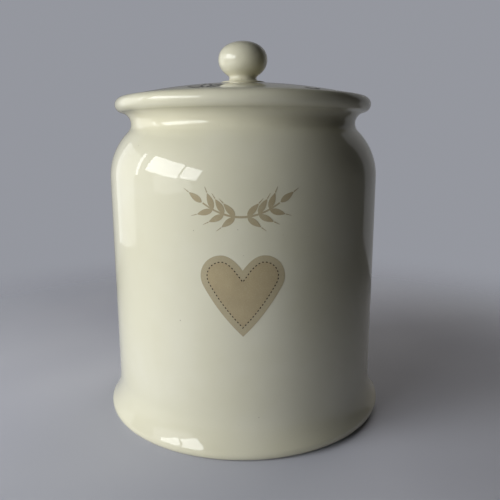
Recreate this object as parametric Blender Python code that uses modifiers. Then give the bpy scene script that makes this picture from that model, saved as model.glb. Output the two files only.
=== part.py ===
"""Glazed stoneware bread crock with a lift-off domed lid, a ball knob, a seal ring
and two fired-on transfers.

Metres, +Z up. The origin is the centre of the foot ring, on the surface that the
crock stands on. The front of the crock, with its transfers, faces -Y. Every moving
piece turns and lifts about the Z axis, so every origin is on that axis.
"""

import math

import bmesh
import bpy

# ---------------------------------------------------------------- driving dimensions
FOOT_R = 0.128              # widest radius of the flared foot
FOOT_ROLL_R = 0.0053        # rounded edge of the foot
FOOT_FLARE_R = 0.045        # hollow curve from the wall out to the foot's edge
FOOT_RING_INNER_R = 0.113   # inner edge of the flat ring that the crock stands on
FOOT_RECESS_R = 0.110       # radius of the recessed base inside the ring
FOOT_RECESS_Z = 0.004

WALL_R = 0.1195             # outer radius of the straight wall
WALL_T = 0.007              # thickness of the clay wall
WALL_TOP_Z = 0.212          # where the shoulder starts
SHOULDER_R = 0.056          # shoulder arc
FLOOR_Z = 0.012             # top of the floor inside
FLOOR_FILLET_R = 0.015      # floor to wall, inside

NECK_CURVE_R = 0.0095       # hollow curve under the lip
LIP_R = 0.113               # widest radius of the rolled lip
LIP_ROLL_R = 0.0065
LIP_CENTRE_Z = 0.2743
GALLERY_Z = 0.2757          # ledge that carries the lid
GALLERY_R = 0.1045          # wall around the ledge
EDGE_R = 0.0015             # softened edges of the clay

LID_R = 0.1037              # edge of the lid
LID_APEX_Z = 0.2933         # top of the dome
LID_DOME_R = 0.445          # radius of the dome's sphere
LID_RIM_Z = 0.276           # flat underside of the rim
LID_T = 0.006               # thickness of the dome
LID_FILLET_R = 0.005        # dome to flange, inside
FLANGE_R = 0.090            # outer radius of the locating flange
FLANGE_T = 0.0055
FLANGE_BOTTOM_Z = 0.262

SEAL_BOTTOM_Z = 0.2650
SEAL_TOP_Z = 0.2750
SEAL_BODY_R = 0.0914        # outside of the seal between its ribs
SEAL_RIB_R = 0.0926         # outside of the ribs
SEAL_RIBS = 3

COLLAR_R = 0.0205           # thin disc under the knob
COLLAR_TOP_Z = 0.2952
KNOB_FOOT_R = 0.0150        # where the hollow of the neck runs out on the collar
KNOB_NECK_R = 0.0122
KNOB_NECK_Z = 0.2988
KNOB_SPLIT_Z = 0.3020       # where the neck's curve meets the ball
KNOB_R = 0.0218             # widest radius of the ball
KNOB_MID_Z = 0.314          # height of that widest place
KNOB_TOP_Z = 0.330
KNOB_LOWER_H = 0.0165       # half-height of the ellipse below it
KNOB_SQUARENESS = 2.2       # exponent of the curve above it; 2 is an ellipse

HEART_Z = 0.146             # height of the centres of the heart's two lobes
HEART_LOBE_X = 0.0158
HEART_LOBE_R = 0.0158
HEART_NOTCH_RISE = 0.0045   # from those centres up to the notch
HEART_TIP_DROP = 0.0464     # and down to the tip
HEART_SIDE_R = 0.170        # large arc from each lobe to the tip
HEART_AZIMUTH = math.radians(-0.5)

SPRIG_Z = 0.190             # height of the place where the two wheat ears meet
SPRIG_HALF_LENGTH = 0.0280  # from there to the root of each ear's last grain
SPRIG_RISE = 0.0100         # how far each ear's tip lifts
SPRIG_STEM_W = 0.0016
SPRIG_PAIRS = 3             # pairs of grains on each ear
SPRIG_FIRST_GRAIN = 0.14    # share of the stem that is bare
GRAIN_L = 0.0130
GRAIN_W = 0.0045
GRAIN_ANGLE = math.radians(42)
SPRIG_AZIMUTH = math.radians(-0.9)

TRANSFER_T = 0.0004         # thickness of a transfer
GAP = 0.0003                # clearance between touching pieces

RING_STEPS = 48             # facets around the crock, the lid and the seal
KNOB_STEPS = 24
ARC_TOLERANCE = 0.00015     # how far a profile's facets stay from the true arc
ARC_MAX_STEP = math.radians(22.5)
WRAP_STEP = 0.005           # width of a transfer's facets around the wall
SNAP = 0.00005              # points of a transfer closer than this are one point

# Base colour and roughness of each material.
GLAZE = ((0.70, 0.67, 0.52), 0.12)
SILICONE = ((0.78, 0.78, 0.76), 0.55)
TAUPE = ((0.43, 0.365, 0.23), 0.15)


# ------------------------------------------------------------------------- materials
def material(name, colour, roughness):
    mat = bpy.data.materials.new(name)
    mat.use_nodes = True
    shader = mat.node_tree.nodes["Principled BSDF"]
    shader.inputs["Base Color"].default_value = (*colour, 1.0)
    shader.inputs["Roughness"].default_value = roughness
    shader.inputs["Metallic"].default_value = 0.0
    mat.diffuse_color = (*colour, 1.0)
    return mat


# -------------------------------------------------------------- geometry in the plane
def arc(centre, radius, start, end):
    """Points of an arc, both ends included, with angles in radians."""
    step = min(ARC_MAX_STEP, 2.0 * math.acos(1.0 - ARC_TOLERANCE / radius))
    count = max(1, math.ceil(abs(end - start) / step))
    angles = [start + (end - start) * i / count for i in range(count + 1)]
    return [(centre[0] + radius * math.cos(a), centre[1] + radius * math.sin(a))
            for a in angles]


def direction(start, end):
    return math.atan2(end[1] - start[1], end[0] - start[0])


def circles_meet(centre_a, radius_a, centre_b, radius_b):
    """The two points where two circles cross, the inner one first."""
    span = math.dist(centre_a, centre_b)
    along = (radius_a ** 2 - radius_b ** 2 + span ** 2) / (2.0 * span)
    across = math.sqrt(radius_a ** 2 - along ** 2)
    ux = (centre_b[0] - centre_a[0]) / span
    uy = (centre_b[1] - centre_a[1]) / span
    base = (centre_a[0] + ux * along, centre_a[1] + uy * along)
    return sorted([(base[0] - uy * across, base[1] + ux * across),
                   (base[0] + uy * across, base[1] - ux * across)])


def bezier(corners, count):
    """A Bezier curve of any degree, by repeated blending of its control points."""
    points = []
    for i in range(count + 1):
        t = i / count
        row = list(corners)
        while len(row) > 1:
            row = [(a[0] + (b[0] - a[0]) * t, a[1] + (b[1] - a[1]) * t)
                   for a, b in zip(row, row[1:])]
        points.append(row[0])
    return points


# --------------------------------------------------------------------- turned shapes
def turned(name, profile, mat, parts, steps, closed=False):
    """A profile of (r, z) points, turned about Z with a Screw modifier."""
    mesh = bpy.data.meshes.new(name)
    edges = [(i, i + 1) for i in range(len(profile) - 1)]
    if closed:
        edges.append((len(profile) - 1, 0))
    mesh.from_pydata([(r, 0.0, z) for r, z in profile], edges, [])
    mesh.materials.append(mat)
    obj = bpy.data.objects.new(name, mesh)
    parts.objects.link(obj)
    screw = obj.modifiers.new("Turn", "SCREW")
    screw.axis = "Z"
    screw.steps = steps
    screw.render_steps = steps
    screw.use_merge_vertices = True
    screw.merge_threshold = 0.00001
    screw.use_smooth_shade = True
    return obj


def neck_centre():
    """Centre of the hollow under the lip, which is tangent to lip and shoulder."""
    shoulder = (WALL_R - SHOULDER_R, WALL_TOP_Z)
    lip = (LIP_R - LIP_ROLL_R, LIP_CENTRE_Z)
    return circles_meet(shoulder, SHOULDER_R + NECK_CURVE_R,
                        lip, LIP_ROLL_R + NECK_CURVE_R)[1]


def crock_inside():
    """From the middle of the floor, up the wall and out over the gallery to the crest."""
    quarter = math.pi / 2.0
    inner_r = WALL_R - WALL_T
    shoulder = (WALL_R - SHOULDER_R, WALL_TOP_Z)
    neck = neck_centre()
    mouth_r = neck[0] - NECK_CURVE_R - WALL_T
    crest_z = LIP_CENTRE_Z + LIP_ROLL_R

    points = [(0.0, FLOOR_Z)]
    points += arc((inner_r - FLOOR_FILLET_R, FLOOR_Z + FLOOR_FILLET_R), FLOOR_FILLET_R,
                  -quarter, 0.0)
    points += arc(shoulder, SHOULDER_R - WALL_T, 0.0, direction(shoulder, neck))
    points += arc(neck, NECK_CURVE_R + WALL_T,
                  direction(neck, shoulder) + 2.0 * math.pi, math.pi)[1:]
    points += arc((mouth_r + EDGE_R, GALLERY_Z - EDGE_R), EDGE_R, math.pi, quarter)
    points += [(GALLERY_R, GALLERY_Z)]
    points += arc((GALLERY_R + EDGE_R, crest_z - EDGE_R), EDGE_R, math.pi, quarter)
    return points


def crock_outside():
    """From the lip's crest down the neck, shoulder and wall to the foot ring's flat."""
    lip = (LIP_R - LIP_ROLL_R, LIP_CENTRE_Z)
    shoulder = (WALL_R - SHOULDER_R, WALL_TOP_Z)
    neck = neck_centre()
    roll = (FOOT_R - FOOT_ROLL_R, FOOT_ROLL_R)
    flare_r = WALL_R + FOOT_FLARE_R
    reach = FOOT_FLARE_R + FOOT_ROLL_R
    flare = (flare_r, roll[1] + math.sqrt(reach ** 2 - (flare_r - roll[0]) ** 2))

    points = arc(lip, LIP_ROLL_R, math.pi / 2.0, direction(lip, neck))
    points += arc(neck, NECK_CURVE_R, direction(neck, lip),
                  direction(neck, shoulder) + 2.0 * math.pi)[1:]
    points += arc(shoulder, SHOULDER_R, direction(shoulder, neck), 0.0)[1:]
    points += arc(flare, FOOT_FLARE_R, math.pi, direction(flare, roll) + 2.0 * math.pi)
    points += arc(roll, FOOT_ROLL_R, direction(roll, flare), 0.0)[1:]
    points += arc(roll, FOOT_ROLL_R, 0.0, -math.pi / 2.0)[1:]
    return points


def crock_underside():
    """The flat ring that the crock stands on, and the recessed base inside it."""
    return [(FOOT_RING_INNER_R, 0.0), (FOOT_RECESS_R, FOOT_RECESS_Z), (0.0, FOOT_RECESS_Z)]


def make_crock(parts, glaze):
    profile = crock_inside() + crock_outside() + crock_underside()
    return turned("crock", profile, glaze, parts, RING_STEPS)


# ------------------------------------------------------------------------------- lid
def dome_centre():
    return (0.0, LID_APEX_Z - LID_DOME_R)


def dome_z(radius, clearance=0.0):
    """Height of the lid's outer surface, or of one that lies clear of it."""
    return dome_centre()[1] + math.sqrt((LID_DOME_R + clearance) ** 2 - radius ** 2)


def rim_roll_radius():
    """Radius of the lid's edge, tangent to the dome, the rim's side and its underside."""
    height = LID_RIM_Z - dome_centre()[1]
    half = height - LID_R + LID_DOME_R
    return math.sqrt(half ** 2 - LID_R ** 2 - height ** 2 + LID_DOME_R ** 2) - half


def lid_profile():
    quarter = math.pi / 2.0
    dome = dome_centre()
    edge_r = rim_roll_radius()
    edge = (LID_R - edge_r, LID_RIM_Z + edge_r)
    flange_tip = (FLANGE_R - FLANGE_T / 2.0, FLANGE_BOTTOM_Z + FLANGE_T / 2.0)
    inner_r = LID_DOME_R - LID_T
    fillet_r = FLANGE_R - FLANGE_T - LID_FILLET_R
    fillet = (fillet_r, dome[1] + math.sqrt((inner_r - LID_FILLET_R) ** 2 - fillet_r ** 2))

    points = arc(dome, LID_DOME_R, quarter, direction(dome, edge))
    points += arc(edge, edge_r, direction(dome, edge), -quarter)[1:]
    points += arc((FLANGE_R + EDGE_R, LID_RIM_Z - EDGE_R), EDGE_R, quarter, math.pi)
    points += arc(flange_tip, FLANGE_T / 2.0, 0.0, -math.pi)
    points += arc(fillet, LID_FILLET_R, 0.0, direction(dome, fillet))
    points += arc(dome, inner_r, direction(dome, fillet), quarter)[1:]
    points[0] = (0.0, points[0][1])
    points[-1] = (0.0, points[-1][1])
    return points


def make_lid(parts, glaze):
    return turned("lid", lid_profile(), glaze, parts, RING_STEPS)


# ------------------------------------------------------------------------------ knob
def knob_profile():
    """Ball, neck and collar, down to an underside that follows the dome."""
    upper_h = KNOB_TOP_Z - KNOB_MID_Z
    upper_steps = 8
    power = 2.0 / KNOB_SQUARENESS
    points = []
    for i in range(upper_steps + 1):
        angle = math.pi / 2.0 * i / upper_steps
        points.append((KNOB_R * math.sin(angle) ** power,
                       KNOB_MID_Z + upper_h * max(0.0, math.cos(angle)) ** power))

    lower_steps = 5
    sweep = math.asin((KNOB_MID_Z - KNOB_SPLIT_Z) / KNOB_LOWER_H)
    for i in range(1, lower_steps + 1):
        angle = sweep * i / lower_steps
        points.append((KNOB_R * math.cos(angle), KNOB_MID_Z - KNOB_LOWER_H * math.sin(angle)))

    split_r = points[-1][0]
    slope = KNOB_R * math.tan(sweep) / KNOB_LOWER_H
    lead = (KNOB_SPLIT_Z - KNOB_NECK_Z) / 2.5
    neck = (KNOB_NECK_R, KNOB_NECK_Z)
    foot = (KNOB_FOOT_R, COLLAR_TOP_Z + 0.0002)
    points += bezier([points[-1], (split_r - slope * lead, KNOB_SPLIT_Z - lead),
                      (KNOB_NECK_R, KNOB_NECK_Z + lead), neck], 4)[1:]
    points += bezier([neck, (KNOB_NECK_R, (KNOB_NECK_Z + foot[1]) / 2.0),
                      ((KNOB_NECK_R + KNOB_FOOT_R) / 2.0, foot[1]), foot], 4)[1:]

    underside_z = dome_z(COLLAR_R, GAP)
    rim_r = (COLLAR_TOP_Z - underside_z) / 2.0
    points += arc((COLLAR_R - rim_r, COLLAR_TOP_Z - rim_r), rim_r, math.pi / 2.0, -math.pi / 2.0)
    points += [(COLLAR_R / 2.0, dome_z(COLLAR_R / 2.0, GAP)), (0.0, dome_z(0.0, GAP))]
    return points


def make_knob(parts, glaze):
    return turned("knob", knob_profile(), glaze, parts, KNOB_STEPS)


# ------------------------------------------------------------------------------ seal
def make_seal(parts, silicone):
    """Ring with ribs around its outside, fitted on the lid's flange."""
    inner_r = FLANGE_R + GAP
    pitch = (SEAL_TOP_Z - SEAL_BOTTOM_Z) / SEAL_RIBS
    profile = [(inner_r, SEAL_TOP_Z)]
    for i in range(SEAL_RIBS):
        top = SEAL_TOP_Z - i * pitch
        profile.append((SEAL_BODY_R, top if i == 0 else top - 0.1 * pitch))
        profile.append((SEAL_RIB_R, top - 0.35 * pitch))
        profile.append((SEAL_RIB_R, top - 0.65 * pitch))
    profile += [(SEAL_BODY_R, SEAL_BOTTOM_Z), (inner_r, SEAL_BOTTOM_Z)]
    return turned("lid_seal", profile, silicone, parts, RING_STEPS, closed=True)


# ------------------------------------------------------------------------- transfers
def heart_outline():
    """Heart around its lobes' height: round lobes, a soft notch and slightly bowed sides."""
    lobe = (HEART_LOBE_X, 0.0)
    tip = (0.0, -HEART_TIP_DROP)
    side = circles_meet(lobe, HEART_SIDE_R - HEART_LOBE_R, tip, HEART_SIDE_R)[0]
    join = direction(side, lobe)
    right = arc(side, HEART_SIDE_R, direction(side, tip), join)
    right += arc(lobe, HEART_LOBE_R, join, math.pi / 2.0)[1:]
    right += bezier([(HEART_LOBE_X, HEART_LOBE_R), (HEART_LOBE_X / 2.0, HEART_LOBE_R),
                     (0.0, HEART_NOTCH_RISE)], 6)[1:]
    left = [(-x, y) for x, y in reversed(right[1:-1])]
    return right + left


def grain_outline(root, angle):
    """One side and then the other of a pointed grain that grows out of the stem."""
    root_w = SPRIG_STEM_W * 0.6
    steps = 5
    edge = []
    for i in range(steps + 1):
        t = i / steps
        half_w = root_w / 2.0 * (1.0 - t) + GRAIN_W / 2.0 * math.sin(math.pi * t)
        edge.append((GRAIN_L * t, half_w))
    outline = [(x, -w) for x, w in edge[:-1]] + [(x, w) for x, w in reversed(edge)]
    ca, sa = math.cos(angle), math.sin(angle)
    return [(root[0] + x * ca - y * sa, root[1] + x * sa + y * ca) for x, y in outline]


def ear_outline():
    """One wheat ear, along the stem's lower edge to the tip and back along its upper one."""
    def stem(share):
        return (SPRIG_HALF_LENGTH * share, SPRIG_RISE * share ** 2)

    def lean(share):
        return math.atan2(2.0 * SPRIG_RISE * share, SPRIG_HALF_LENGTH)

    def beside(share, side):
        x, y = stem(share)
        offset = side * SPRIG_STEM_W / 2.0
        return (x - math.sin(lean(share)) * offset, y + math.cos(lean(share)) * offset)

    spread = 1.0 - SPRIG_FIRST_GRAIN
    shares = [SPRIG_FIRST_GRAIN + spread * i / SPRIG_PAIRS for i in range(SPRIG_PAIRS)]
    lower = [beside(0.0, -1), beside(SPRIG_FIRST_GRAIN / 2.0, -1)]
    for share in shares:
        lower += grain_outline(beside(share, -1), lean(share) - GRAIN_ANGLE)
    tip = grain_outline(stem(1.0), lean(1.0))
    upper = []
    for share in reversed(shares):
        upper += grain_outline(beside(share, 1), lean(share) + GRAIN_ANGLE)
    upper += [beside(SPRIG_FIRST_GRAIN / 2.0, 1), beside(0.0, 1)]
    return lower + tip + upper


def sprig_outline():
    """Two ears that meet in the middle and point away from each other."""
    right = ear_outline()
    left = [(-x, y) for x, y in reversed(right[1:-1])]
    return right + left


def flat_solid(name, outline):
    """A thin flat solid from an outline, as a mesh object that isn't linked yet."""
    curve = bpy.data.curves.new(name, "CURVE")
    curve.dimensions = "2D"
    curve.fill_mode = "BOTH"
    curve.extrude = TRANSFER_T / 2.0
    spline = curve.splines.new("POLY")
    spline.points.add(len(outline) - 1)
    for point, (x, y) in zip(spline.points, outline):
        point.co = (x, y, 0.0, 1.0)
    spline.use_cyclic_u = True
    guide = bpy.data.objects.new(name + "_outline", curve)
    bpy.context.scene.collection.objects.link(guide)
    depsgraph = bpy.context.evaluated_depsgraph_get()
    mesh = bpy.data.meshes.new_from_object(guide.evaluated_get(depsgraph))
    mesh.name = name
    bpy.data.objects.remove(guide)
    bpy.data.curves.remove(curve)
    return bpy.data.objects.new(name, mesh)


def wrapped(name, outline, azimuth, height, mat, parts):
    """A flat solid cut into strips and wrapped around the front of the wall."""
    obj = flat_solid(name, outline)
    mesh = obj.data
    shape = bmesh.new()
    shape.from_mesh(mesh)
    bmesh.ops.remove_doubles(shape, verts=shape.verts, dist=SNAP)
    reach = max(abs(x) for x, _ in outline)
    cuts = math.ceil(reach / WRAP_STEP)
    for i in range(-cuts + 1, cuts):
        geometry = shape.verts[:] + shape.edges[:] + shape.faces[:]
        bmesh.ops.bisect_plane(shape, geom=geometry, dist=SNAP,
                               plane_co=(i * WRAP_STEP, 0.0, 0.0),
                               plane_no=(1.0, 0.0, 0.0))
    bmesh.ops.triangulate(shape, faces=shape.faces)
    middle_r = WALL_R + GAP + TRANSFER_T / 2.0
    for vert in shape.verts:
        x, y, depth = vert.co
        angle = azimuth + x / middle_r
        radius = middle_r + depth
        vert.co = (radius * math.sin(angle), -radius * math.cos(angle), height + y)
    shape.to_mesh(mesh)
    shape.free()
    mesh.materials.clear()
    mesh.materials.append(mat)
    mesh.shade_smooth()
    mesh.set_sharp_from_angle(angle=math.radians(40))
    parts.objects.link(obj)
    return obj


def make_transfers(parts, taupe):
    wrapped("heart_transfer", heart_outline(), HEART_AZIMUTH, HEART_Z, taupe, parts)
    wrapped("wheat_transfer", sprig_outline(), SPRIG_AZIMUTH, SPRIG_Z, taupe, parts)


# ------------------------------------------------------------------------------ main
def main():
    for obj in list(bpy.data.objects):
        bpy.data.objects.remove(obj)
    parts = bpy.data.collections.new("bread_crock")
    bpy.context.scene.collection.children.link(parts)
    make_crock(parts, material("crock_glaze", *GLAZE))
    make_lid(parts, material("lid_glaze", *GLAZE))
    make_knob(parts, material("knob_glaze", *GLAZE))
    make_seal(parts, material("silicone", *SILICONE))
    make_transfers(parts, material("taupe_transfer", *TAUPE))


main()
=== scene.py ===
"""Looks of a glazed ceramic bread crock with a domed lid.

Every CAD node is replaced by a finer piece of the same size: turned ceramic for the crock,
lid and knob, a ribbed silicone seal, and thin prints on the wall. All lengths are in
metres, +Z is up, and the front faces -Y.
"""

import math

import bmesh
import bpy
from mathutils import Matrix, Vector, noise
from mathutils.geometry import delaunay_2d_cdt


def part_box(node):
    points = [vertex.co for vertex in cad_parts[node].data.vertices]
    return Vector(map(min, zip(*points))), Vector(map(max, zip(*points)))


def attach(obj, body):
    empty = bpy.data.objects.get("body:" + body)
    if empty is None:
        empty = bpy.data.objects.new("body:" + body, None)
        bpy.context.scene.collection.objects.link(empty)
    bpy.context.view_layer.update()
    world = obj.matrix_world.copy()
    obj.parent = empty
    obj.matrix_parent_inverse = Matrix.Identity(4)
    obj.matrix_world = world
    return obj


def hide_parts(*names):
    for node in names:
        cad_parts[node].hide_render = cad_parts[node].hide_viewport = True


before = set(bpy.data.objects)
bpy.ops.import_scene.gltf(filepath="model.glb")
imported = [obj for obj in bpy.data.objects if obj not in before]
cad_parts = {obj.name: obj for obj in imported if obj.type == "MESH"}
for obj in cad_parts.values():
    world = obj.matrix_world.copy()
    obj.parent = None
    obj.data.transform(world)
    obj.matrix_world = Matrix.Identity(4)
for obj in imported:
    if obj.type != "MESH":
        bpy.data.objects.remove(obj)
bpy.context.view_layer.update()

# ------------------------------------------------------------- sizes from the frame
CROCK_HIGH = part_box("crock")[1]
LID_LOW, LID_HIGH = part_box("lid")
KNOB_LOW, KNOB_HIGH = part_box("knob")
SEAL_LOW, SEAL_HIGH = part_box("lid_seal")
HEART_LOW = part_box("heart_transfer")[0]

FOOT_R = CROCK_HIGH.x
CREST_Z = CROCK_HIGH.z
LID_R = LID_HIGH.x
LID_APEX_Z = LID_HIGH.z
FLANGE_BOTTOM_Z = LID_LOW.z
KNOB_R = KNOB_HIGH.x
KNOB_TOP_Z = KNOB_HIGH.z

# --------------------------------------------------------- shape between those sizes
FOOT_ROLL_R = 0.0053        # rounded edge of the foot
FOOT_FLARE_R = 0.045        # hollow curve from the wall out to the foot's edge
FOOT_RING_INNER_R = 0.113   # inner edge of the flat ring that the crock stands on
FOOT_RECESS_R = 0.110
FOOT_RECESS_Z = 0.004
FOOT_BEVEL = (0.001, 0.0013)  # width and height of the ring's inner bevel
WALL_R = 0.1195
WALL_T = 0.007
WALL_TOP_Z = 0.212          # where the shoulder starts
SHOULDER_R = 0.056
FLOOR_Z = 0.012             # top of the floor inside
FLOOR_FILLET_R = 0.015
NECK_CURVE_R = 0.0095       # hollow curve under the lip
LIP_R = 0.113
LIP_ROLL_R = 0.0065
GALLERY_Z = 0.2757          # ledge that carries the lid
GALLERY_R = 0.1045
EDGE_R = 0.0015             # softened edges of the clay
LID_DOME_R = 0.445          # radius of the dome's sphere
LID_RIM_Z = 0.276           # flat underside of the rim
LID_T = 0.006
LID_FILLET_R = 0.005        # dome to flange, inside
FLANGE_R = 0.090
FLANGE_T = 0.0055
SEAL_RIBS = 3
SEAL_BODY_R = 0.0914        # outside of the seal between its ribs
SEAL_ROUNDNESS = 0.7        # exponent of a rib's outline; 1 is a sine
COLLAR_R = 0.0205           # thin disc under the knob
COLLAR_TOP_Z = 0.2952
KNOB_FOOT_R = 0.0150        # where the hollow of the neck runs out on the collar
KNOB_NECK_R = 0.0122
KNOB_NECK_Z = 0.2988
KNOB_SPLIT_Z = 0.3020       # where the neck's curve meets the ball
KNOB_MID_Z = 0.314          # height of the ball's widest place
KNOB_LOWER_H = 0.0165       # half-height of the ellipse below it
KNOB_SQUARENESS = 2.2       # exponent of the curve above it; 2 is an ellipse
GAP = 0.0003                # clearance between touching pieces

RING_STEPS = 176            # facets around the crock, the lid and the seal
KNOB_STEPS = 96
ARC_TOLERANCE = 0.00001     # how far a profile's facets stay from the true arc
ARC_MAX_STEP = math.radians(10)
LONGEST_FACET = 0.004       # the longest step along a turned profile
SAME_POINT = 1e-6           # points closer than this are one point
SHARP_TURNED = math.radians(50)
SHARP_FILM = math.radians(35)
QUARTER = math.pi / 2.0


# -------------------------------------------------------------- geometry in the plane
def arc(centre, radius, start, end):
    """Points of an arc, both ends included, with angles in radians."""
    step = min(ARC_MAX_STEP, 2.0 * math.acos(1.0 - ARC_TOLERANCE / radius))
    count = max(1, math.ceil(abs(end - start) / step))
    angles = [start + (end - start) * i / count for i in range(count + 1)]
    return [(centre[0] + radius * math.cos(a), centre[1] + radius * math.sin(a))
            for a in angles]


def direction(start, end):
    """Heading from one point to another, in radians."""
    return math.atan2(end[1] - start[1], end[0] - start[0])


def circles_meet(centre_a, radius_a, centre_b, radius_b):
    """The two points where two circles cross, the inner one first."""
    span = math.dist(centre_a, centre_b)
    along = (radius_a ** 2 - radius_b ** 2 + span ** 2) / (2.0 * span)
    across = math.sqrt(radius_a ** 2 - along ** 2)
    ux = (centre_b[0] - centre_a[0]) / span
    uy = (centre_b[1] - centre_a[1]) / span
    base = (centre_a[0] + ux * along, centre_a[1] + uy * along)
    return sorted([(base[0] - uy * across, base[1] + ux * across),
                   (base[0] + uy * across, base[1] - ux * across)])


def bezier(points, count):
    """A Bezier curve of any degree, by repeated blending of its control points."""
    curve = []
    for i in range(count + 1):
        t = i / count
        row = list(points)
        while len(row) > 1:
            row = [tuple(a + (b - a) * t for a, b in zip(p, q))
                   for p, q in zip(row, row[1:])]
        curve.append(row[0])
    return curve


def refined(points, longest):
    """The same line with no step longer than asked, and no point twice."""
    result = [points[0]]
    for point in points[1:]:
        last = result[-1]
        length = math.dist(last, point)
        if length < SAME_POINT:
            continue
        count = math.ceil(length / longest)
        result += [(last[0] + (point[0] - last[0]) * i / count,
                    last[1] + (point[1] - last[1]) * i / count)
                   for i in range(1, count + 1)]
    return result


# --------------------------------------------------------------------- hand-made form
RIPPLES = ((17.0, 1.0), (41.0, 0.5), (120.0, 0.12))     # waves to the metre, and strength
CROCK_RIPPLE = 0.00005
LID_RIPPLE = 0.00004


def ripple(point, size):
    """How far a fired surface stands off its true form at a point. It is nearly always
    inwards, so the piece stays inside the CAD's box."""
    return size * (sum(share * noise.noise(point * waves) for waves, share in RIPPLES) - 1.0)


def turned(name, bands, steps, materials, ripple_size, closed=False):
    """A closed turned mesh from bands, each a list of (r, z) points and a slot number."""
    profile = []
    slots = []
    for points, slot in bands:
        fine = refined(points, LONGEST_FACET)
        if profile and math.dist(profile[-1], fine[0]) < SAME_POINT:
            fine = fine[1:]
        slots += [slot] * len(fine)
        profile += fine
    count = len(profile)
    shape = bmesh.new()
    rings = []
    for i, (r, z) in enumerate(profile):
        before = profile[i - 1] if i or closed else profile[i]
        after = profile[(i + 1) % count] if i + 1 < count or closed else profile[i]
        along = Vector((after[0] - before[0], after[1] - before[1])).normalized()
        normal = Vector((-along.y, along.x)) if along.length else Vector((0.0, 1.0))
        if r < SAME_POINT:
            rings.append([shape.verts.new((0.0, 0.0, z))])
            continue
        ring = []
        for k in range(steps):
            angle = 2.0 * math.pi * k / steps
            c, s = math.cos(angle), math.sin(angle)
            off = ripple(Vector((r * c, r * s, z)), ripple_size) if ripple_size else 0.0
            ring.append(shape.verts.new(((r + off * normal.x) * c, (r + off * normal.x) * s,
                                         z + off * normal.y)))
        rings.append(ring)
    last = count if closed else count - 1
    for i in range(last):
        upper, lower = rings[i], rings[(i + 1) % count]
        for k in range(steps):
            j = (k + 1) % steps
            loop = [upper[k % len(upper)], lower[k % len(lower)],
                    lower[j % len(lower)], upper[j % len(upper)]]
            loop = list(dict.fromkeys(loop))
            face = shape.faces.new(loop)
            face.material_index = slots[(i + 1) % count]
            face.smooth = True
    mesh = bpy.data.meshes.new(name)
    shape.to_mesh(mesh)
    shape.free()
    for mat in materials:
        mesh.materials.append(mat)
    mesh.set_sharp_from_angle(angle=SHARP_TURNED)
    obj = bpy.data.objects.new(name, mesh)
    bpy.context.scene.collection.objects.link(obj)
    return obj


def inside(point, outline):
    """True if a point lies inside a closed outline."""
    x, y = point
    odd = False
    for (xa, ya), (xb, yb) in zip(outline, outline[1:] + outline[:1]):
        if (ya > y) != (yb > y) and x < (xb - xa) * (y - ya) / (yb - ya) + xa:
            odd = not odd
    return odd


def clear_of(point, outline, distance):
    """True if a point is further than a distance from every corner of an outline."""
    return all(math.dist(point, corner) > distance for corner in outline)


def film(name, outlines, surface, low, high, cell, mat):
    """A thin closed film of flat outlines laid on a surface, from low to high above it."""
    verts, faces, normals = [], [], []
    for outline in outlines:
        outline = refined(outline + outline[:1], cell)[:-1]
        xs = [p[0] for p in outline]
        ys = [p[1] for p in outline]
        grid = []
        for i in range(math.ceil(min(xs) / cell), math.floor(max(xs) / cell) + 1):
            for j in range(math.ceil(min(ys) / cell), math.floor(max(ys) / cell) + 1):
                point = (i * cell, j * cell)
                if inside(point, outline) and clear_of(point, outline, 0.45 * cell):
                    grid.append(point)
        count = len(outline)
        rim = [(i, (i + 1) % count) for i in range(count)]
        flat, _, tris, *_ = delaunay_2d_cdt([Vector(p) for p in outline + grid], rim,
                                            [list(range(count))], 1, 1e-7)
        start = len(verts)
        total = len(flat)
        tops = [surface(p.x, p.y, high) for p in flat]
        bottoms = [surface(p.x, p.y, low) for p in flat]
        verts += [p for p, _ in tops] + [p for p, _ in bottoms]
        edges = {}
        for a, b, c in tris:
            faces.append((start + a, start + b, start + c))
            normals += [tops[k][1] for k in (a, b, c)]
            faces.append((start + total + c, start + total + b, start + total + a))
            normals += [-bottoms[k][1] for k in (c, b, a)]
            for edge in ((a, b), (b, c), (c, a)):
                edges[edge] = True
        for a, b in edges:
            if (b, a) not in edges:
                faces.append((start + a, start + total + a, start + total + b, start + b))
                normals += [Vector((0.0, 0.0, 0.0))] * 4
    mesh = bpy.data.meshes.new(name)
    mesh.from_pydata(verts, [], faces)
    mesh.shade_smooth()
    mesh.set_sharp_from_angle(angle=SHARP_FILM)
    mesh.normals_split_custom_set(normals)
    mesh.materials.append(mat)
    obj = bpy.data.objects.new(name, mesh)
    bpy.context.scene.collection.objects.link(obj)
    return obj


# -------------------------------------------------------------------------- materials
def new_material(name):
    """A node material, with its nodes and links."""
    mat = bpy.data.materials.new(name)
    mat.use_nodes = True
    return mat, mat.node_tree.nodes, mat.node_tree.links


def add(tree_nodes, kind, **values):
    """A node with its attributes and its named or numbered inputs set."""
    node = tree_nodes.new(kind)
    for key, value in values.items():
        if key.startswith("in_"):
            name = key[3:].replace("_", " ")
            socket = node.inputs[int(name)] if name.isdigit() else node.inputs[name]
            socket.default_value = value
        else:
            setattr(node, key, value)
    return node


def mix_colour(tree_nodes, links, factor, colour_a, colour_b):
    """Mixes two colours, each a socket or a value, by a factor socket or number."""
    node = tree_nodes.new("ShaderNodeMix")
    node.data_type = "RGBA"
    for socket, value in ((node.inputs[0], factor), (node.inputs[6], colour_a),
                          (node.inputs[7], colour_b)):
        if isinstance(value, bpy.types.NodeSocket):
            links.new(value, socket)
        elif isinstance(value, tuple):
            socket.default_value = (*value, 1.0)
        else:
            socket.default_value = value
    return node.outputs[2]


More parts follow.
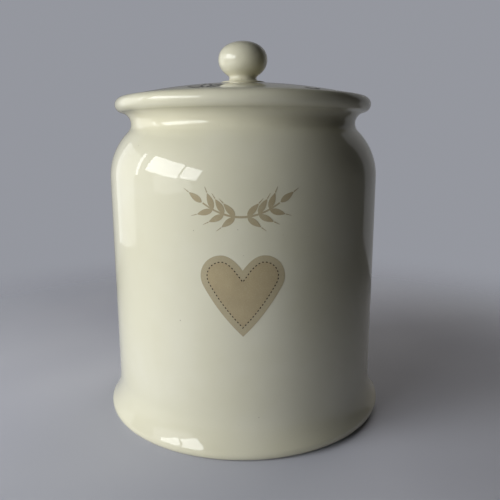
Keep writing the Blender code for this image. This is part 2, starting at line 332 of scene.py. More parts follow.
def steps_of(tree_nodes, links, source, stops):
    """A grey ramp from (place, grey) stops."""
    ramp = tree_nodes.new("ShaderNodeValToRGB")
    ramp.color_ramp.interpolation = "EASE"
    elements = ramp.color_ramp.elements
    while len(elements) < len(stops):
        elements.new(0.5)
    for element, (place, grey) in zip(elements, stops):
        element.position = place
        element.color = (grey, grey, grey, 1.0)
    links.new(source, ramp.inputs[0])
    return ramp.outputs[0]


CREAM = (0.70, 0.675, 0.515)
CREAM_WARM = (0.66, 0.62, 0.44)
CREAM_PALE = (0.75, 0.73, 0.60)
SPECK = (0.20, 0.15, 0.09)
TAUPE = (0.445, 0.385, 0.250)
TAUPE_INNER = (0.420, 0.345, 0.208)
STITCH = (0.050, 0.036, 0.022)
LINE = (0.030, 0.024, 0.018)
BISCUIT = (0.66, 0.57, 0.44)
BISCUIT_DARK = (0.50, 0.42, 0.31)
SILICONE = (0.74, 0.74, 0.71)
SILICONE_DUST = (0.62, 0.61, 0.57)
PAPER = (0.50, 0.51, 0.58)
PAPER_PALE = (0.56, 0.57, 0.63)

GLOSS = {"Specular IOR Level": 0.10, "Coat Roughness": 0.018, "Coat IOR": 1.52}
PEEL_HEIGHT = 0.00014


def set_inputs(shader, values):
    """Sets constant values on a shader's own sockets."""
    for name, value in values.items():
        shader.inputs[name].default_value = value


def glossy(shader, coat):
    """The clear fired gloss that all glazed surfaces share."""
    set_inputs(shader, GLOSS)
    shader.inputs["Coat Weight"].default_value = coat


def peel(tree, links, position, shader):
    """The faint unevenness of a fired glaze."""
    broad = add(tree, "ShaderNodeTexNoise", in_Scale=55.0, in_Detail=1.0)
    fine = add(tree, "ShaderNodeTexNoise", in_Scale=420.0, in_Detail=2.0)
    height = add(tree, "ShaderNodeMath", operation="MULTIPLY_ADD", in_1=0.05)
    bump = add(tree, "ShaderNodeBump", in_Strength=0.5, in_Distance=PEEL_HEIGHT)
    links.new(position, broad.inputs["Vector"])
    links.new(position, fine.inputs["Vector"])
    links.new(fine.outputs["Fac"], height.inputs[0])
    links.new(broad.outputs["Fac"], height.inputs[2])
    links.new(height.outputs[0], bump.inputs["Height"])
    links.new(bump.outputs["Normal"], shader.inputs["Normal"])
    links.new(bump.outputs["Normal"], shader.inputs["Coat Normal"])


def glaze(name, low, high, pools):
    """Cream glaze with cloudy colour, small specks, and warm pools that are given as
    (share of the height from low to high, strength)."""
    mat, tree, links = new_material(name)
    shader = tree["Principled BSDF"]
    glossy(shader, 1.0)
    position = add(tree, "ShaderNodeTexCoord").outputs["Object"]

    cloud = add(tree, "ShaderNodeTexNoise", in_Scale=13.0, in_Detail=3.0, in_Roughness=0.55)
    links.new(position, cloud.inputs["Vector"])
    cloudy = steps_of(tree, links, cloud.outputs["Fac"], [(0.35, 0.0), (0.70, 0.55)])
    colour = mix_colour(tree, links, cloudy, CREAM, CREAM_PALE)

    split = add(tree, "ShaderNodeSeparateXYZ")
    links.new(position, split.inputs[0])
    height = add(tree, "ShaderNodeMapRange", in_1=low, in_2=high)
    links.new(split.outputs["Z"], height.inputs[0])
    pooled = steps_of(tree, links, height.outputs[0], pools)
    colour = mix_colour(tree, links, pooled, colour, CREAM_WARM)

    cells = add(tree, "ShaderNodeTexVoronoi", in_Scale=62.0)
    links.new(position, cells.inputs["Vector"])
    dot = add(tree, "ShaderNodeMapRange", in_1=0.016, in_2=0.034, in_3=1.0, in_4=0.0)
    links.new(cells.outputs["Distance"], dot.inputs[0])
    chance = add(tree, "ShaderNodeSeparateColor")
    links.new(cells.outputs["Color"], chance.inputs[0])
    chosen = add(tree, "ShaderNodeMath", operation="GREATER_THAN", in_1=0.55)
    links.new(chance.outputs[0], chosen.inputs[0])
    mask = add(tree, "ShaderNodeMath", operation="MULTIPLY")
    links.new(dot.outputs[0], mask.inputs[0])
    links.new(chosen.outputs[0], mask.inputs[1])
    faint = add(tree, "ShaderNodeMath", operation="MULTIPLY", in_1=0.7)
    links.new(mask.outputs[0], faint.inputs[0])
    colour = mix_colour(tree, links, faint.outputs[0], colour, SPECK)

    links.new(colour, shader.inputs["Base Color"])
    rough = add(tree, "ShaderNodeMapRange", in_3=0.28, in_4=0.42)
    links.new(cloud.outputs["Fac"], rough.inputs[0])
    links.new(rough.outputs[0], shader.inputs["Roughness"])
    peel(tree, links, position, shader)
    return mat


def transfer(name, colour_a, colour_b, coat=1.0):
    """Ceramic ink, as glossy as its coat: slightly uneven, with a fine printed grain."""
    mat, tree, links = new_material(name)
    shader = tree["Principled BSDF"]
    glossy(shader, coat)
    position = add(tree, "ShaderNodeTexCoord").outputs["Object"]
    cover = add(tree, "ShaderNodeTexNoise", in_Scale=90.0, in_Detail=4.0, in_Roughness=0.6)
    grain = add(tree, "ShaderNodeTexNoise", in_Scale=1500.0, in_Detail=1.0)
    links.new(position, cover.inputs["Vector"])
    links.new(position, grain.inputs["Vector"])
    even = steps_of(tree, links, cover.outputs["Fac"], [(0.30, 0.0), (0.72, 1.0)])
    colour = mix_colour(tree, links, even, colour_a, colour_b)
    fine = steps_of(tree, links, grain.outputs["Fac"], [(0.45, 0.0), (0.70, 0.10)])
    colour = mix_colour(tree, links, fine, colour, CREAM)
    links.new(colour, shader.inputs["Base Color"])
    shader.inputs["Roughness"].default_value = 0.38
    peel(tree, links, position, shader)
    return mat


def biscuit(name):
    """Bare fired clay: matt, slightly open and rubbed grey where it stands."""
    mat, tree, links = new_material(name)
    shader = tree["Principled BSDF"]
    position = add(tree, "ShaderNodeTexCoord").outputs["Object"]
    body = add(tree, "ShaderNodeTexNoise", in_Scale=45.0, in_Detail=6.0, in_Roughness=0.7)
    sand = add(tree, "ShaderNodeTexNoise", in_Scale=900.0, in_Detail=3.0)
    links.new(position, body.inputs["Vector"])
    links.new(position, sand.inputs["Vector"])
    stained = steps_of(tree, links, body.outputs["Fac"], [(0.42, 0.0), (0.70, 0.8)])
    colour = mix_colour(tree, links, stained, BISCUIT, BISCUIT_DARK)
    grit = steps_of(tree, links, sand.outputs["Fac"], [(0.45, 0.0), (0.75, 0.5)])
    colour = mix_colour(tree, links, grit, colour, BISCUIT_DARK)
    links.new(colour, shader.inputs["Base Color"])
    shader.inputs["Roughness"].default_value = 0.85
    bump = add(tree, "ShaderNodeBump", in_Strength=0.6, in_Distance=0.0002)
    links.new(sand.outputs["Fac"], bump.inputs["Height"])
    links.new(bump.outputs["Normal"], shader.inputs["Normal"])
    return mat


def silicone(name):
    """Cloudy soft silicone with a dusty bloom."""
    mat, tree, links = new_material(name)
    shader = tree["Principled BSDF"]
    position = add(tree, "ShaderNodeTexCoord").outputs["Object"]
    dust = add(tree, "ShaderNodeTexNoise", in_Scale=160.0, in_Detail=4.0)
    links.new(position, dust.inputs["Vector"])
    dusty = steps_of(tree, links, dust.outputs["Fac"], [(0.40, 0.0), (0.75, 0.6)])
    colour = mix_colour(tree, links, dusty, SILICONE, SILICONE_DUST)
    links.new(colour, shader.inputs["Base Color"])
    rough = add(tree, "ShaderNodeMapRange", in_3=0.38, in_4=0.6)
    links.new(dust.outputs["Fac"], rough.inputs[0])
    links.new(rough.outputs[0], shader.inputs["Roughness"])
    set_inputs(shader, {"Subsurface Weight": 0.3, "Subsurface Radius": (0.004, 0.004, 0.0035)})
    return mat


# ------------------------------------------------------------------------------ crock
LIP = (LIP_R - LIP_ROLL_R, CREST_Z - LIP_ROLL_R)
SHOULDER = (WALL_R - SHOULDER_R, WALL_TOP_Z)
NECK = circles_meet(SHOULDER, SHOULDER_R + NECK_CURVE_R, LIP, LIP_ROLL_R + NECK_CURVE_R)[1]
CROCK_GLAZE_END = math.radians(-62)     # place on the foot's roll where the glaze stops
LID_GLAZE_END = math.radians(-55)       # and on the lid's edge


def crock_bands():
    """The crock's whole profile: glaze is slot 0 and bare clay is slot 1."""
    inner_r = WALL_R - WALL_T
    mouth_r = NECK[0] - NECK_CURVE_R - WALL_T
    roll = (FOOT_R - FOOT_ROLL_R, FOOT_ROLL_R)
    flare_r = WALL_R + FOOT_FLARE_R
    reach = FOOT_FLARE_R + FOOT_ROLL_R
    flare = (flare_r, roll[1] + math.sqrt(reach ** 2 - (flare_r - roll[0]) ** 2))

    inside_line = [(0.0, FLOOR_Z)]
    inside_line += arc((inner_r - FLOOR_FILLET_R, FLOOR_Z + FLOOR_FILLET_R), FLOOR_FILLET_R,
                       -QUARTER, 0.0)
    inside_line += arc(SHOULDER, SHOULDER_R - WALL_T, 0.0, direction(SHOULDER, NECK))
    inside_line += arc(NECK, NECK_CURVE_R + WALL_T,
                       direction(NECK, SHOULDER) + 2.0 * math.pi, math.pi)
    inside_line += arc((mouth_r + EDGE_R, GALLERY_Z - EDGE_R), EDGE_R, math.pi, QUARTER)
    ledge = [inside_line[-1], (GALLERY_R - EDGE_R / 2.0, GALLERY_Z)]
    outside = [ledge[-1]]
    outside += arc((GALLERY_R - EDGE_R / 2.0, GALLERY_Z + EDGE_R / 2.0), EDGE_R / 2.0,
                   -QUARTER, 0.0)
    outside += arc((GALLERY_R + EDGE_R, CREST_Z - EDGE_R), EDGE_R, math.pi, QUARTER)
    outside += arc(LIP, LIP_ROLL_R, QUARTER, direction(LIP, NECK))
    outside += arc(NECK, NECK_CURVE_R, direction(NECK, LIP),
                   direction(NECK, SHOULDER) + 2.0 * math.pi)
    outside += arc(SHOULDER, SHOULDER_R, direction(SHOULDER, NECK), 0.0)
    outside += arc(flare, FOOT_FLARE_R, math.pi, direction(flare, roll) + 2.0 * math.pi)
    outside += arc(roll, FOOT_ROLL_R, direction(roll, flare), CROCK_GLAZE_END)
    ring = arc(roll, FOOT_ROLL_R, CROCK_GLAZE_END, -QUARTER)
    ring += [(FOOT_RING_INNER_R, 0.0), (FOOT_RING_INNER_R - FOOT_BEVEL[0], FOOT_BEVEL[1])]
    under = [ring[-1], (FOOT_RECESS_R, FOOT_RECESS_Z), (0.0, FOOT_RECESS_Z)]
    return [(inside_line, 0), (ledge, 1), (outside, 0), (ring, 1), (under, 0)]


def make_crock(glaze_mat, bare_mat):
    obj = turned("crock_body", crock_bands(), RING_STEPS, [glaze_mat, bare_mat], CROCK_RIPPLE)
    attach(obj, "crock")
    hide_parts("crock")


# -------------------------------------------------------------------------------- lid
DOME = (0.0, LID_APEX_Z - LID_DOME_R)


def dome_z(radius, clearance=0.0):
    """Height of the dome's top, or of a surface clear of it, at a radius."""
    return DOME[1] + math.sqrt((LID_DOME_R + clearance) ** 2 - radius ** 2)


def rim_roll_radius():
    """Radius of the lid's edge, tangent to the dome, the rim's side and its underside."""
    height = LID_RIM_Z - DOME[1]
    half = height - LID_R + LID_DOME_R
    return math.sqrt(half ** 2 - LID_R ** 2 - height ** 2 + LID_DOME_R ** 2) - half


def lid_bands():
    """The lid's whole profile: glaze is slot 0 and bare clay is slot 1."""
    edge_r = rim_roll_radius()
    edge = (LID_R - edge_r, LID_RIM_Z + edge_r)
    tip = (FLANGE_R - FLANGE_T / 2.0, FLANGE_BOTTOM_Z + FLANGE_T / 2.0)
    inner_r = LID_DOME_R - LID_T
    fillet_r = FLANGE_R - FLANGE_T - LID_FILLET_R
    fillet = (fillet_r, DOME[1] + math.sqrt((inner_r - LID_FILLET_R) ** 2 - fillet_r ** 2))

    top = [(0.0, LID_APEX_Z)] + arc(DOME, LID_DOME_R, QUARTER, direction(DOME, edge))[1:]
    top += arc(edge, edge_r, direction(DOME, edge), LID_GLAZE_END)
    rest = arc(edge, edge_r, LID_GLAZE_END, -QUARTER)
    rest += [(FLANGE_R + EDGE_R, LID_RIM_Z)]
    under = arc((FLANGE_R + EDGE_R, LID_RIM_Z - EDGE_R), EDGE_R, QUARTER, math.pi)
    under += arc(tip, FLANGE_T / 2.0, 0.0, -math.pi)
    under += arc(fillet, LID_FILLET_R, 0.0, direction(DOME, fillet))
    under += arc(DOME, inner_r, direction(DOME, fillet), QUARTER)[:-1]
    under += [(0.0, DOME[1] + inner_r)]
    return [(top, 0), (rest, 1), (under, 0)]


def make_lid(glaze_mat, bare_mat):
    obj = turned("lid_dome", lid_bands(), RING_STEPS, [glaze_mat, bare_mat], LID_RIPPLE)
    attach(obj, "lid")
    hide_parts("lid")


KNOB_UPPER_STEPS = 24
KNOB_LOWER_STEPS = 14
KNOB_CURVE_STEPS = 10
KNOB_FOOT_RISE = 0.0002     # from the collar's top to the end of the neck's hollow
KNOB_HOLLOW = 0.00045       # how far the middle of the underside is drawn up


def knob_line():
    """Ball, neck and collar, down to an underside that follows the dome."""
    power = 2.0 / KNOB_SQUARENESS
    points = []
    for i in range(KNOB_UPPER_STEPS + 1):
        angle = QUARTER * i / KNOB_UPPER_STEPS
        points.append((KNOB_R * math.sin(angle) ** power,
                       KNOB_MID_Z + (KNOB_TOP_Z - KNOB_MID_Z)
                       * max(0.0, math.cos(angle)) ** power))
    sweep = math.asin((KNOB_MID_Z - KNOB_SPLIT_Z) / KNOB_LOWER_H)
    for i in range(1, KNOB_LOWER_STEPS + 1):
        angle = sweep * i / KNOB_LOWER_STEPS
        points.append((KNOB_R * math.cos(angle), KNOB_MID_Z - KNOB_LOWER_H * math.sin(angle)))
    split = points[-1]
    slope = KNOB_R * math.tan(sweep) / KNOB_LOWER_H
    lead = (KNOB_SPLIT_Z - KNOB_NECK_Z) / 2.5
    neck = (KNOB_NECK_R, KNOB_NECK_Z)
    foot = (KNOB_FOOT_R, COLLAR_TOP_Z + KNOB_FOOT_RISE)
    points += bezier([split, (split[0] - slope * lead, KNOB_SPLIT_Z - lead),
                      (KNOB_NECK_R, KNOB_NECK_Z + lead), neck], KNOB_CURVE_STEPS)[1:]
    points += bezier([neck, (KNOB_NECK_R, (KNOB_NECK_Z + foot[1]) / 2.0),
                      ((KNOB_NECK_R + KNOB_FOOT_R) / 2.0, foot[1]), foot],
                     KNOB_CURVE_STEPS)[1:]
    rim_r = (COLLAR_TOP_Z - dome_z(COLLAR_R, GAP)) / 2.0
    points += arc((COLLAR_R - rim_r, COLLAR_TOP_Z - rim_r), rim_r, QUARTER, -QUARTER)
    points += [(COLLAR_R / 2.0, dome_z(COLLAR_R / 2.0, GAP)), (0.0, KNOB_LOW.z + KNOB_HOLLOW)]
    return points


def make_knob(glaze_mat):
    obj = turned("lid_knob", [(knob_line(), 0)], KNOB_STEPS, [glaze_mat], 0.0)
    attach(obj, "lid")
    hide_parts("knob")


def make_seal(mat):
    """Soft ring with rounded ribs."""
    inner_r = FLANGE_R + GAP
    height = SEAL_HIGH.z - SEAL_LOW.z
    steps = 72
    line = [(inner_r, SEAL_HIGH.z)]
    for i in range(steps + 1):
        share = i / steps
        bulge = max(0.0, math.sin(math.pi * ((share * SEAL_RIBS) % 1.0))) ** SEAL_ROUNDNESS
        line.append((SEAL_BODY_R + (SEAL_HIGH.x - SEAL_BODY_R) * bulge,
                     SEAL_HIGH.z - height * share))
    line += [(inner_r, SEAL_LOW.z)]
    line += [(inner_r, SEAL_HIGH.z - 0.001)]
    obj = turned("seal_ring", [(line, 0)], RING_STEPS, [mat], 0.0, closed=True)
    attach(obj, "seal")
    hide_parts("lid_seal")


# -------------------------------------------------------------------------- transfers
HEART_AZIMUTH = math.radians(-0.5)
WHEAT_AZIMUTH = math.radians(-0.9)
FILM_LOW = -0.00005         # how far a print's underside lies in the glaze
FILM_HIGH = 0.00009         # how far its top stands proud
INNER_HIGH = 0.00011
STITCH_HIGH = 0.00014
HEART_CELL = 0.0016         # size of the facets in each print
STITCH_CELL = 0.001
WHEAT_CELL = 0.0018
LINE_CELL = 0.0015


def on_wall(azimuth, height):
    """A surface for film(): u runs right around the wall, v runs up from a height."""
    def surface(u, v, off):
        angle = azimuth + u / WALL_R
        normal = Vector((math.sin(angle), -math.cos(angle), 0.0))
        base = normal * WALL_R + Vector((0.0, 0.0, height + v))
        return base + normal * (ripple(base, CROCK_RIPPLE) + off), normal
    return surface


HEART_LOBE_X = 0.0158       # the heart is drawn from the height of its lobes' centres
HEART_LOBE_R = 0.0158
HEART_NOTCH = 0.0045
HEART_TIP = -0.0464
HEART_SIDE_R = 0.170        # large arc from each lobe to the tip
HEART_CURVE_STEPS = 16
HEART_CENTRE_Z = HEART_LOW.z - HEART_TIP
STITCH_INSET = 0.0050       # from the heart's edge to the line of stitches
STITCH_PITCH = 0.00285
STITCH_L = 0.0015
STITCH_W = 0.00085


def heart_half(inset):
    """Right half of the heart from tip to notch, moved inwards by an inset."""
    lobe = (HEART_LOBE_X, 0.0)
    side = circles_meet(lobe, HEART_SIDE_R - HEART_LOBE_R, (0.0, HEART_TIP), HEART_SIDE_R)[0]
    join = direction(side, lobe)
    side_r = HEART_SIDE_R - inset
    start = -math.acos(-side[0] / side_r)
    half = arc(side, side_r, start, join)
    half += arc(lobe, HEART_LOBE_R - inset, join, QUARTER)[1:]
    top = HEART_LOBE_R
    inner = bezier([(HEART_LOBE_X, top), (HEART_LOBE_X / 2.0, top), (0.0, HEART_NOTCH)],
                   HEART_CURVE_STEPS)
    moved = []
    for i in range(1, len(inner)):
        after = inner[min(i + 1, len(inner) - 1)]
        before = inner[i - 1]
        lean = direction(before, after)
        point = (inner[i][0] - math.sin(lean) * inset, inner[i][1] + math.cos(lean) * inset)
        if point[0] > 0.0:
            moved.append(point)
    half += moved
    last, rise = half[-1], direction(half[-2], half[-1])
    if inset:
        half.append((0.0, last[1] - math.tan(rise) * last[0]))
    else:
        half.append((0.0, HEART_NOTCH))
    return half


def heart_outline(inset):
    """The whole heart, moved inwards by an inset."""
    right = heart_half(inset)
    return right + [(-x, y) for x, y in reversed(right[1:-1])]


def capsule(centre, angle, length, width):
    """Outline of a short rounded dash."""
    r = width / 2.0
    half = length / 2.0 - r
    points = arc((half, 0.0), r, -QUARTER, QUARTER) + arc((-half, 0.0), r, QUARTER, 3 * QUARTER)
    points = points[::2]
    c, s = math.cos(angle), math.sin(angle)
    return [(centre[0] + x * c - y * s, centre[1] + x * s + y * c) for x, y in points]


def along(line, pitch):
    """Evenly spaced places on a closed line, each a point and a heading."""
    closed = line + line[:1]
    lengths = [math.dist(a, b) for a, b in zip(closed, closed[1:])]
    total = sum(lengths)
    count = round(total / pitch)
    places = []
    reached, k = 0.0, 0
    for i in range(count):
        target = total * i / count
        while reached + lengths[k] < target:
            reached += lengths[k]
            k += 1
        a, b = closed[k], closed[k + 1]
        t = (target - reached) / lengths[k]
        places.append(((a[0] + (b[0] - a[0]) * t, a[1] + (b[1] - a[1]) * t), direction(a, b)))
    return places


def make_heart(border_mat, inner_mat, stitch_mat):
    wall = on_wall(HEART_AZIMUTH, HEART_CENTRE_Z)
    heart = film("heart_print", [heart_outline(0.0)], wall, FILM_LOW, FILM_HIGH, HEART_CELL,
                 border_mat)
    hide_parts("heart_transfer")
    inner = film("heart_inner_print", [heart_outline(STITCH_INSET)], wall, FILM_LOW,
                 INNER_HIGH, HEART_CELL, inner_mat)
    dashes = [capsule(p, a, STITCH_L, STITCH_W)
              for p, a in along(heart_outline(STITCH_INSET), STITCH_PITCH)]
    stitches = film("heart_stitches", dashes, wall, FILM_LOW, STITCH_HIGH, STITCH_CELL,
                    stitch_mat)
    for piece in (heart, inner, stitches):
        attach(piece, "crock")


# ---------------------------------------------------------------------------- sprig
SPRIG_Z = 0.190             # height of the place where the two ears meet
SPRIG_LENGTH = 0.0280       # from there to the root of each ear's last grain
SPRIG_RISE = 0.0100         # how far each ear's tip lifts
SPRIG_PAIRS = 3             # pairs of grains on each ear
SPRIG_FIRST = 0.14          # share of the stem that is bare
STEM_W = 0.0017
STEM_TAPER = 0.35           # share of that width lost by its tip
STEM_STEPS = 14
GRAIN_L = 0.0130
GRAIN_W = 0.0046
GRAIN_ANGLE = math.radians(42)
GRAIN_START = 0.0008        # gap between the stem's middle and a grain
GRAIN_STEPS = 14
AWN_GAP = 0.0003            # gap between a grain's tip and its awn
AWN_L = 0.0045
AWN_W = 0.0008


def turned_by(points, angle, root):
    """Points turned by an angle and moved to a root."""
    c, s = math.cos(angle), math.sin(angle)
    return [(root[0] + x * c - y * s, root[1] + x * s + y * c) for x, y in points]


def grain(root, angle):
    """A plump pointed grain, and the thin awn that grows from its tip."""
    edge = []
    for i in range(GRAIN_STEPS):
        t = i / GRAIN_STEPS
        edge.append((GRAIN_START + (GRAIN_L - GRAIN_START) * t,
                     GRAIN_W / 2.0 * math.sin(math.pi * t ** 0.8) ** 0.85))
    edge.append((GRAIN_L, 0.0))
    body = [(x, -w) for x, w in edge] + [(x, w) for x, w in reversed(edge[1:-1])]
    first = GRAIN_L + AWN_GAP
    awn = [(first, -AWN_W / 2.0), (first + AWN_L, -AWN_W / 6.0), (first + AWN_L, AWN_W / 6.0),
           (first, AWN_W / 2.0)]
    return [turned_by(body, angle, root), turned_by(awn, angle, root)]


def ear():
    """Stem, grains and awns of the right-hand ear."""
    def stem(share):
        return (SPRIG_LENGTH * share, SPRIG_RISE * share ** 2)

    def lean(share):
        return math.atan2(2.0 * SPRIG_RISE * share, SPRIG_LENGTH)

    lower, upper = [], []
    for i in range(STEM_STEPS + 1):
        share = i / STEM_STEPS
        half = STEM_W / 2.0 * (1.0 - STEM_TAPER * share)
        x, y = stem(share)
        lower.append((x + math.sin(lean(share)) * half, y - math.cos(lean(share)) * half))
        upper.append((x - math.sin(lean(share)) * half, y + math.cos(lean(share)) * half))
    outlines = [lower + upper[::-1]]
    for i in range(SPRIG_PAIRS):
        share = SPRIG_FIRST + (1.0 - SPRIG_FIRST) * i / SPRIG_PAIRS
        for side in (-1, 1):
            outlines += grain(stem(share), lean(share) + side * GRAIN_ANGLE)
    outlines += grain(stem(1.0), lean(1.0))
    return outlines


def make_wheat(mat):
    right = ear()
    left = [[(-x, y) for x, y in reversed(outline)] for outline in right]
    piece = film("wheat_print", right + left, on_wall(WHEAT_AZIMUTH, SPRIG_Z), FILM_LOW,
                 FILM_HIGH, WHEAT_CELL, mat)
    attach(piece, "crock")
    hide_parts("wheat_transfer")


# ------------------------------------------------------------------- drawing on the lid
LINE_W = 0.0014
LEAF_STEPS = 20
# Each leaf: its root and tip in plan, and how far its sides bulge as a share of its length.
LEAVES = (((-0.0275, -0.0992), (-0.0415, -0.0765), 0.24),
          ((-0.0275, -0.0992), (-0.0275, -0.0695), 0.24),
          ((-0.0275, -0.0992), (-0.0150, -0.0780), 0.24),
          ((0.0530, -0.0875), (0.0468, -0.0795), 0.22),
          ((0.0530, -0.0875), (0.0580, -0.0775), 0.22))


def on_dome(x, y, off):
    """A surface for film(): plan coordinates, laid on the lid's dome."""
    flat = Vector((x, y, dome_z(math.hypot(x, y)) - DOME[1]))
    normal = flat.normalized()
    base = Vector((x, y, flat.z + DOME[1]))
    return base + normal * (ripple(base, LID_RIPPLE) + off), normal


def pen_line(points, width):
    """Outline of a drawn line with pointed ends."""
    left, right = [], []
    for i in range(1, len(points) - 1):
        lean = direction(points[i - 1], points[i + 1])
        half = width / 2.0 * min(1.0, 0.55 + 0.45 * min(i, len(points) - 1 - i))
        x, y = points[i]
        left.append((x - math.sin(lean) * half, y + math.cos(lean) * half))
        right.append((x + math.sin(lean) * half, y - math.cos(lean) * half))
    return [points[0]] + right + [points[-1]] + left[::-1]


def leaf_lines(root, tip, bulge):
    """The two curved sides of an outlined leaf, which stay clear of each other."""
    dx, dy = tip[0] - root[0], tip[1] - root[1]
    sides = []
    for side in (-1.0, 1.0):
        bend = (root[0] + dx * 0.55 - dy * bulge * side, root[1] + dy * 0.55 + dx * bulge * side)
        line = bezier([root, bend, tip], LEAF_STEPS)
        sides.append(pen_line(line[3:-1], LINE_W))
    return sides


def make_lid_lines(mat):
    """Three outlined leaves at the left of the front, and two small ones at the right."""
    lines = [side for leaf in LEAVES for side in leaf_lines(*leaf)]
    piece = film("lid_lines", lines, on_dome, FILM_LOW, FILM_HIGH, LINE_CELL, mat)
    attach(piece, "lid")


# ------------------------------------------------------------------ camera and studio
CAMERA_AT = (0.0, -0.504, 0.2432)
CAMERA_PITCH = math.radians(11.35)
CAMERA_YAW = math.radians(0.65)
CAMERA_ROLL = math.radians(-0.22)
LENS_MM = 38.88


def make_camera():
    """The camera, at the viewing angle that was fitted to the silhouette."""
    data = bpy.data.cameras.new("camera")
    data.lens = LENS_MM
    data.sensor_width = 36.0
    data.clip_start = 0.01
    obj = bpy.data.objects.new("camera", data)
    bpy.context.scene.collection.objects.link(obj)
    ahead = Vector((math.sin(CAMERA_YAW) * math.cos(CAMERA_PITCH),
                    math.cos(CAMERA_YAW) * math.cos(CAMERA_PITCH), -math.sin(CAMERA_PITCH)))
    right = Vector((math.cos(CAMERA_YAW), -math.sin(CAMERA_YAW), 0.0))
    up = right.cross(ahead)
    rolled = right * math.cos(CAMERA_ROLL) + up * math.sin(CAMERA_ROLL)
    up = rolled.cross(ahead)
    turn = Matrix((rolled, up, -ahead)).transposed()
    obj.matrix_world = Matrix.Translation(CAMERA_AT) @ turn.to_4x4()
    bpy.context.scene.camera = obj


FLOOR_R = 4.0
FLOOR_NEAR = 0.22           # the floor starts to fade into the backdrop here
FLOOR_FAR = 0.75            # and is gone here

DAYLIGHT = (0.97, 0.985, 1.0)
ROOM_LIGHT = (1.0, 0.96, 0.90)
BACKDROP_LIGHT = (0.93, 0.95, 1.0)
ROOM_COLOUR = (1.0, 0.97, 0.93)
ROOM_STRENGTH = 0.016
BACKDROP_COLOUR = (0.30, 0.31, 0.345)

LIT, MIRRORED, BOTH = "lit", "mirrored", "both"
SKY = (-0.86, -0.56, 0.50)  # the window
TILT = math.radians(-13)    # and how far its frame leans in the reflection
MIDDLE = (0.0, 0.0, 0.17)
HIGH = (0.0, 0.0, 0.25)
# Name, place, aim, size, watts, colour, whether it lights the object, is mirrored in its
# glaze or both, roll, shift in its own plane, and spread in degrees.
LIGHTS = (
    ("window", SKY, HIGH, (0.64, 0.36), 4.2, DAYLIGHT, BOTH, TILT, (-0.18, 0.0), 180),
    ("window_right", SKY, HIGH, (0.28, 0.30), 1.6, DAYLIGHT, BOTH, TILT, (0.31, 0.01), 180),
    ("window_low", (-0.86, -0.56, 0.24), HIGH, (0.62, 0.24), 0.5, DAYLIGHT, BOTH),
    ("window_side", (-1.02, 0.06, 0.50), HIGH, (0.07, 0.42), 0.35, DAYLIGHT, BOTH),
    ("curtain", (-1.25, 0.55, 0.35), MIDDLE, (0.8, 0.9), 1.7, DAYLIGHT, BOTH),
    ("key", (-1.35, -0.66, 0.60), MIDDLE, (0.7, 0.7), 4.2, DAYLIGHT, LIT),
    ("key_front", (-1.00, -1.15, 0.60), MIDDLE, (0.6, 0.6), 1.2, DAYLIGHT, LIT),
    ("key_near", (-0.75, -0.42, 0.30), (0.0, 0.0, 0.16), (0.25, 0.60), 1.1, DAYLIGHT, LIT),
    ("low", (-0.62, -0.58, 0.08), (0.0, 0.0, 0.06), (0.60, 0.10), 1.0, DAYLIGHT, LIT),
    ("back_fill", (0.52, 0.92, 0.55), MIDDLE, (0.7, 0.7), 1.6, ROOM_LIGHT, LIT, 0.0,
     (0.0, 0.0), 100),
    ("backdrop", (0.10, 0.75, 0.50), (0.10, 0.0, 0.50), (2.6, 1.2), 1.9, BACKDROP_LIGHT,
     MIRRORED),
)


def area_light(name, at, aim, size, power, colour, use, roll=0.0, shift=(0.0, 0.0),
               spread=180):
    """A soft rectangular light that the camera doesn't see."""
    data = bpy.data.lights.new(name, "AREA")
    data.shape = "RECTANGLE"
    data.size, data.size_y = size
    data.energy = power
    data.color = colour
    data.spread = math.radians(spread)
    obj = bpy.data.objects.new(name, data)
    bpy.context.scene.collection.objects.link(obj)
    turn = (Vector(aim) - Vector(at)).to_track_quat("-Z", "Y").to_matrix().to_4x4()
    rolled = Matrix.Translation(at) @ turn @ Matrix.Rotation(roll, 4, "Z")
    obj.matrix_world = rolled @ Matrix.Translation((*shift, 0.0))
    obj.visible_camera = False
    obj.visible_glossy = use != LIT
    obj.visible_diffuse = use != MIRRORED


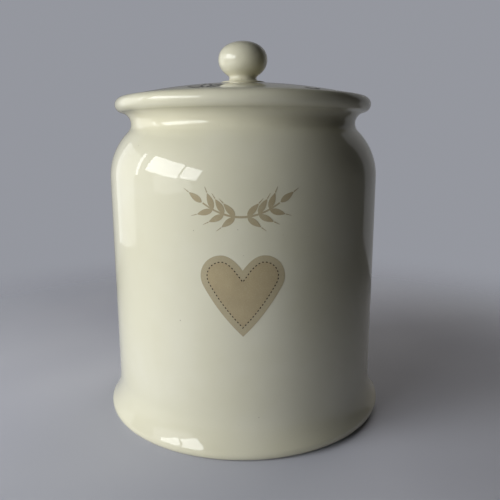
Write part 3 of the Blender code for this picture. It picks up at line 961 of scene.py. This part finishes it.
def make_stage():
    """A pale floor that fades softly into the backdrop on every side."""
    count = 96
    verts = [(0.0, 0.0, 0.0)]
    verts += [(FLOOR_R * math.cos(2.0 * math.pi * k / count),
               FLOOR_R * math.sin(2.0 * math.pi * k / count), 0.0) for k in range(count)]
    faces = [(0, 1 + k, 1 + (k + 1) % count) for k in range(count)]
    mesh = bpy.data.meshes.new("floor")
    mesh.from_pydata(verts, [], faces)
    mat, tree, links = new_material("floor_paper")
    shader = tree["Principled BSDF"]
    position = add(tree, "ShaderNodeTexCoord").outputs["Object"]
    tone = add(tree, "ShaderNodeTexNoise", in_Scale=3.0, in_Detail=2.0)
    links.new(position, tone.inputs["Vector"])
    soft = steps_of(tree, links, tone.outputs["Fac"], [(0.3, 0.0), (0.7, 1.0)])
    colour = mix_colour(tree, links, soft, PAPER, PAPER_PALE)
    links.new(colour, shader.inputs["Base Color"])
    set_inputs(shader, {"Roughness": 0.9, "Specular IOR Level": 0.0})
    far = add(tree, "ShaderNodeVectorMath", operation="LENGTH")
    links.new(position, far.inputs[0])
    fade = add(tree, "ShaderNodeMapRange", interpolation_type="SMOOTHERSTEP", in_1=FLOOR_NEAR,
               in_2=FLOOR_FAR)
    links.new(far.outputs["Value"], fade.inputs[0])
    mixed = add(tree, "ShaderNodeMixShader")
    links.new(fade.outputs[0], mixed.inputs[0])
    links.new(shader.outputs[0], mixed.inputs[1])
    links.new(add(tree, "ShaderNodeBsdfTransparent").outputs[0], mixed.inputs[2])
    links.new(mixed.outputs[0], tree["Material Output"].inputs["Surface"])
    mesh.materials.append(mat)
    obj = bpy.data.objects.new("floor", mesh)
    bpy.context.scene.collection.objects.link(obj)


def make_light():
    """Daylight from a window on the left, a little light from the room, and the world."""
    for light in LIGHTS:
        area_light(*light)
    world = bpy.data.worlds.new("studio")
    world.use_nodes = True
    tree, links = world.node_tree.nodes, world.node_tree.links
    room = tree["Background"]
    set_inputs(room, {"Color": (*ROOM_COLOUR, 1.0), "Strength": ROOM_STRENGTH})
    seen = add(tree, "ShaderNodeBackground", in_Color=(*BACKDROP_COLOUR, 1.0), in_Strength=1.0)
    choice = add(tree, "ShaderNodeMixShader")
    links.new(add(tree, "ShaderNodeLightPath").outputs["Is Camera Ray"], choice.inputs[0])
    links.new(room.outputs[0], choice.inputs[1])
    links.new(seen.outputs[0], choice.inputs[2])
    links.new(choice.outputs[0], tree["World Output"].inputs["Surface"])
    bpy.context.scene.world = world
    bpy.context.scene.view_settings.view_transform = "Standard"


def tinted(colour, factor):
    return tuple(c * factor for c in colour)


# --------------------------------------------------------------------------- assembly
body_glaze = glaze("glaze_cream", 0.0, CREST_Z,
                   [(0.0, 0.40), (0.045, 0.12), (0.10, 0.0), (0.88, 0.0), (0.93, 0.5),
                    (0.97, 0.1)])
lid_glaze = glaze("glaze_cream_lid", LID_RIM_Z, LID_APEX_Z, [(0.0, 0.5), (0.45, 0.0)])
knob_glaze = glaze("glaze_cream_knob", COLLAR_TOP_Z - 0.002, KNOB_TOP_Z,
                   [(0.0, 0.8), (0.16, 0.3), (0.4, 0.0)])
bare = biscuit("bare_clay")
make_crock(body_glaze, bare)
make_lid(lid_glaze, bare)
make_knob(knob_glaze)
make_seal(silicone("silicone_seal"))
make_heart(transfer("taupe_border", TAUPE, tinted(TAUPE, 1.06)),
           transfer("taupe_inner", TAUPE_INNER, tinted(TAUPE_INNER, 1.08)),
           transfer("stitch_brown", STITCH, tinted(STITCH, 1.4)))
make_wheat(transfer("taupe_wheat", TAUPE_INNER, TAUPE))
make_lid_lines(transfer("line_brown", LINE, tinted(LINE, 1.3), coat=0.2))
make_camera()
make_stage()
make_light()
